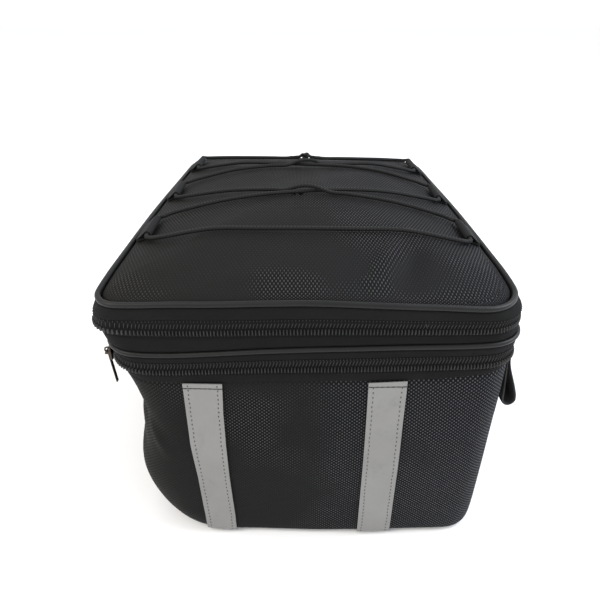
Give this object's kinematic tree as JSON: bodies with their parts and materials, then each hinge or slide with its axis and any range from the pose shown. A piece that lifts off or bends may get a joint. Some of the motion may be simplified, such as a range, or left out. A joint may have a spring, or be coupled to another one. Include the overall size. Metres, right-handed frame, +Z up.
{
  "type": "top case liner bag",
  "caption": "Soft expandable inner bag for a motorcycle top case, with a zipped domed lid, reflective strips and an elastic cord laced over the lid.",
  "frame": {"origin": "middle of the flat base, where the bag stands", "axes": "+X to the bag's right seen from its short near end, +Y along its length to the far end, +Z up"},
  "size_m": [0.273, 0.3082, 0.2229],
  "materials": {
    "ballistic_cloth": "coarse ballistic weave, slight sheen",
    "plain_cloth": "fine plain weave, matte",
    "zip_tape": "woven tape with a satin plastic coil",
    "piping": "satin coated piping",
    "reflective_tape": "retroreflective coating, matte",
    "webbing": "ribbed webbing, matte",
    "elastic": "braided cover, matte",
    "slider_metal": "darkened, bronze tint",
    "pull_cord": "flat woven, matte"
  },
  "bodies": {
    "bag": {"body_shell": "ballistic_cloth", "cord_knot": "elastic", "cord_loop_left_1": "webbing", "cord_loop_left_2": "webbing", "cord_loop_left_3": "webbing", "cord_loop_right_1": "webbing", "cord_loop_right_2": "webbing", "cord_loop_right_3": "webbing", "cord_tail_left": "elastic", "cord_tail_right": "elastic", "expansion_band": "plain_cloth", "lid_band": "plain_cloth", "lid_cord": "elastic", "lid_hinge": "plain_cloth", "lid_panel": "ballistic_cloth", "lid_piping": "piping", "lower_band": "plain_cloth", "lower_piping": "piping", "lower_zip": "zip_tape", "middle_band": "plain_cloth", "strap_loop": "webbing", "tape_left": "reflective_tape", "tape_right": "reflective_tape", "upper_slider": "slider_metal", "upper_zip": "zip_tape", "zip_slider": "slider_metal"},
    "pull": {"pull_ring": "slider_metal", "pull_strap": "pull_cord"}
  },
  "joints": [
    {"name": "pull_swing", "type": "hinge", "parent": "bag", "child": "pull", "pos_m": [-0.1286, -0.126, 0.14968], "axis": [0, 1, 0], "range_deg": [-8, 120]}
  ]
}
